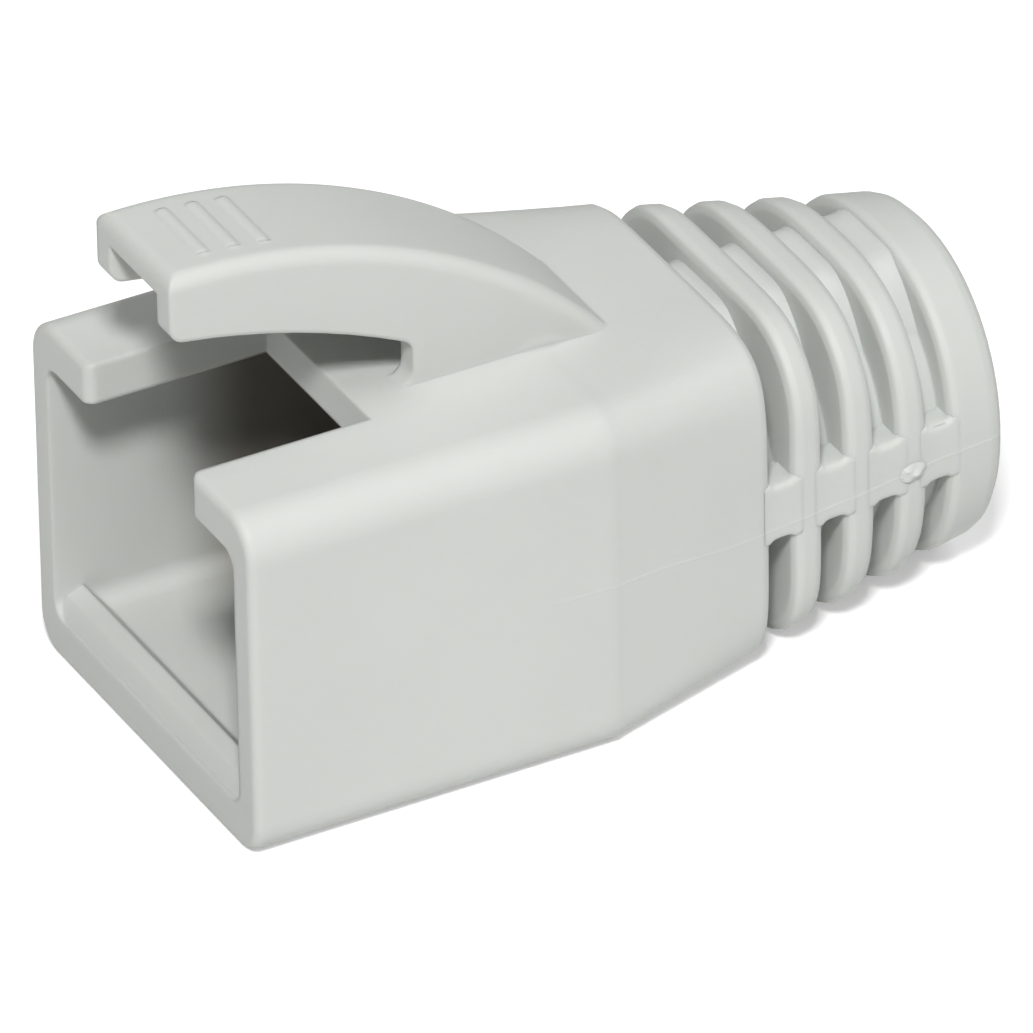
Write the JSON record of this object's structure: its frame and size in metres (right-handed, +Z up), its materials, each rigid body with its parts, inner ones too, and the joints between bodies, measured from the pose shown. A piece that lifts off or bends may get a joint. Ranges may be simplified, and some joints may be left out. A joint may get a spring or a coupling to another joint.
{
  "type": "rj45 strain relief boot",
  "caption": "One-piece moulded strain relief boot for a modular network plug: square plug cover with an arched latch guard and a ribbed sleeve that narrows to the cable.",
  "frame": {"origin": "centre of the boot's outer size in plan, at the height of its flat underside", "axes": "+X from the plug mouth back along the cable, +Y across the boot, +Z up towards the latch cover"},
  "size_m": [0.0264, 0.014, 0.0177],
  "materials": {
    "boot_plastic": "fine satin as moulded"
  },
  "bodies": {
    "root": {"boot": "boot_plastic"}
  },
  "joints": []
}
